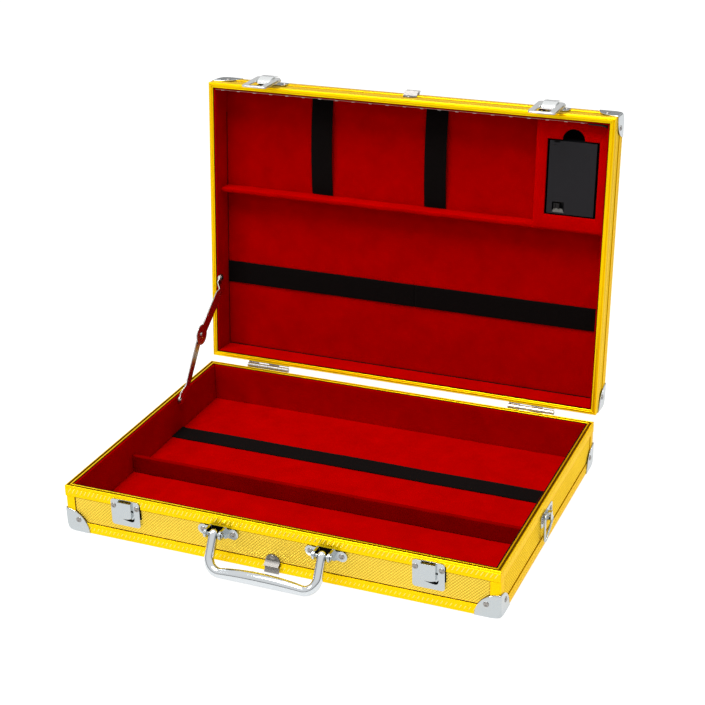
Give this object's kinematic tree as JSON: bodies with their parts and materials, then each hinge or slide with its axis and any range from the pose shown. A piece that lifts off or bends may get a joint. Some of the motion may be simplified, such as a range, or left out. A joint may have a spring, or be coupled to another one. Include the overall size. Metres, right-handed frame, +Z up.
{
  "type": "briefcase style chip case",
  "caption": "Shallow gold panelled briefcase with its lid standing open, red velvet inside, elastic straps, a lid light strip, draw latches, a folding handle and shoulder strap rings.",
  "frame": {"origin": "under the middle of the base tray, on the plane that its corner caps stand on", "axes": "+X along the front edge to the right, seen from the handle side; +Y to the rear, towards the hinges; +Z up"},
  "size_m": [0.4402, 0.3966, 0.3616],
  "materials": {
    "gold_rail": "satin gold anodised",
    "gold_panel": "embossed gold laminated sheet",
    "velvet": "flocked velvet",
    "elastic": "woven elastic",
    "foam": "flocked foam, black core",
    "chrome_trim": "plated, polished",
    "handle_grip": "plated, polished",
    "hinge_steel": "zinc plated",
    "box_plastic": "fine texture",
    "switch_tab": "smooth",
    "cell_jacket": "bare jacket",
    "strip_tape": "flexible tape",
    "light_chips": "moulded lens, unlit",
    "lead_jacket": "smooth"
  },
  "bodies": {
    "base": {"base_floor_panel": "gold_panel", "base_front_panel": "gold_panel", "base_rear_panel": "gold_panel", "base_end_panels": "gold_panel", "base_rim_rails": "gold_rail", "base_edge_rails": "gold_rail", "base_corner_posts": "gold_rail", "base_corner_caps": "chrome_trim", "base_floor_lining": "velvet", "base_wall_lining": "velvet", "base_divider": "velvet", "base_strap": "elastic", "strike_plate_left": "chrome_trim", "strike_plate_right": "chrome_trim", "handle_brackets": "chrome_trim", "handle_pins": "chrome_trim", "handle_rest": "chrome_trim", "ring_plates": "chrome_trim", "hinge_base_leaves": "hinge_steel", "hinge_pins": "hinge_steel", "stay_base_pivot": "hinge_steel", "base_rivets": "chrome_trim"},
    "lid": {"lid_top_panel": "gold_panel", "lid_front_panel": "gold_panel", "lid_rear_panel": "gold_panel", "lid_end_panels": "gold_panel", "lid_rim_rails": "gold_rail", "lid_edge_rails": "gold_rail", "lid_corner_posts": "gold_rail", "lid_corner_caps": "chrome_trim", "lid_floor_lining": "velvet", "lid_wall_lining": "velvet", "lid_partition": "velvet", "lid_long_strap": "elastic", "lid_short_straps": "elastic", "foam_insert": "foam", "led_strip": "strip_tape", "led_chips": "light_chips", "led_lead": "lead_jacket", "hinge_lid_leaves": "hinge_steel", "stay_lid_pivot": "hinge_steel", "lid_clip": "chrome_trim", "latch_mounts": "chrome_trim", "latch_pins": "chrome_trim", "lid_rivets": "chrome_trim"},
    "handle": {"handle": "handle_grip"},
    "strap_ring_left": {"strap_ring_left": "chrome_trim"},
    "strap_ring_right": {"strap_ring_right": "chrome_trim"},
    "stay_lower": {"stay_lower_link": "hinge_steel"},
    "stay_upper": {"stay_upper_link": "hinge_steel"},
    "hasp_left": {"hasp_left": "chrome_trim", "lever_pin_left": "chrome_trim"},
    "hasp_right": {"hasp_right": "chrome_trim", "lever_pin_right": "chrome_trim"},
    "snap_lever_left": {"snap_lever_left": "chrome_trim"},
    "snap_lever_right": {"snap_lever_right": "chrome_trim"},
    "battery_box": {"battery_box": "box_plastic", "battery_cover": "box_plastic", "battery_cells": "cell_jacket"},
    "battery_switch": {"battery_switch": "switch_tab"}
  },
  "joints": [
    {"name": "lid_hinge", "type": "hinge", "parent": "base", "child": "lid", "pos_m": [0, 0.1545, 0.0481], "axis": [1, 0, 0], "range_deg": [0, 95]},
    {"name": "stay_lower_swing", "type": "hinge", "parent": "base", "child": "stay_lower", "pos_m": [-0.203, 0.062, 0.041], "axis": [1, 0, 0], "range_deg": [0, 123.3]},
    {"name": "stay_upper_swing", "type": "hinge", "parent": "lid", "child": "stay_upper", "pos_m": [-0.201, 0.16695, 0.13986], "axis": [1, 0, 0], "range_deg": [-124.89, 0]},
    {"name": "handle_swing", "type": "hinge", "parent": "base", "child": "handle", "pos_m": [0, -0.1595, 0.03381], "axis": [-1, 0, 0], "range_deg": [-26, 135]},
    {"name": "strap_ring_right_swing", "type": "hinge", "parent": "base", "child": "strap_ring_right", "pos_m": [0.2176, -0.014, 0.03], "axis": [0, -0.866, 0.5], "range_deg": [0, 150]},
    {"name": "strap_ring_left_swing", "type": "hinge", "parent": "base", "child": "strap_ring_left", "pos_m": [-0.2176, -0.014, 0.03], "axis": [0, 0.866, -0.5], "range_deg": [0, 150]},
    {"name": "hasp_left_swing", "type": "hinge", "parent": "lid", "child": "hasp_left", "pos_m": [-0.15, 0.19068, 0.35722], "axis": [-1, 0, 0], "range_deg": [-4.1, 35]},
    {"name": "snap_lever_left_swing", "type": "hinge", "parent": "hasp_left", "child": "snap_lever_left", "pos_m": [-0.15, 0.18168, 0.35747], "axis": [1, 0, 0], "range_deg": [0, 35]},
    {"name": "hasp_right_swing", "type": "hinge", "parent": "lid", "child": "hasp_right", "pos_m": [0.15, 0.19068, 0.35722], "axis": [-1, 0, 0], "range_deg": [-4.1, 35]},
    {"name": "snap_lever_right_swing", "type": "hinge", "parent": "hasp_right", "child": "snap_lever_right", "pos_m": [0.15, 0.18168, 0.35747], "axis": [1, 0, 0], "range_deg": [0, 35]},
    {"name": "battery_box_slide", "type": "slide", "parent": "lid", "child": "battery_box", "axis": [0, -0.9962, 0.0872], "range_m": [0, 0.022]},
    {"name": "battery_switch_slide", "type": "slide", "parent": "battery_box", "child": "battery_switch", "axis": [1, 0, 0], "range_m": [0, 0.0032]}
  ],
  "couplings": [
    {"joint": "stay_lower_swing", "follows": "lid_hinge", "ratio": 1.2969},
    {"joint": "stay_upper_swing", "follows": "lid_hinge", "ratio": -1.3135}
  ]
}
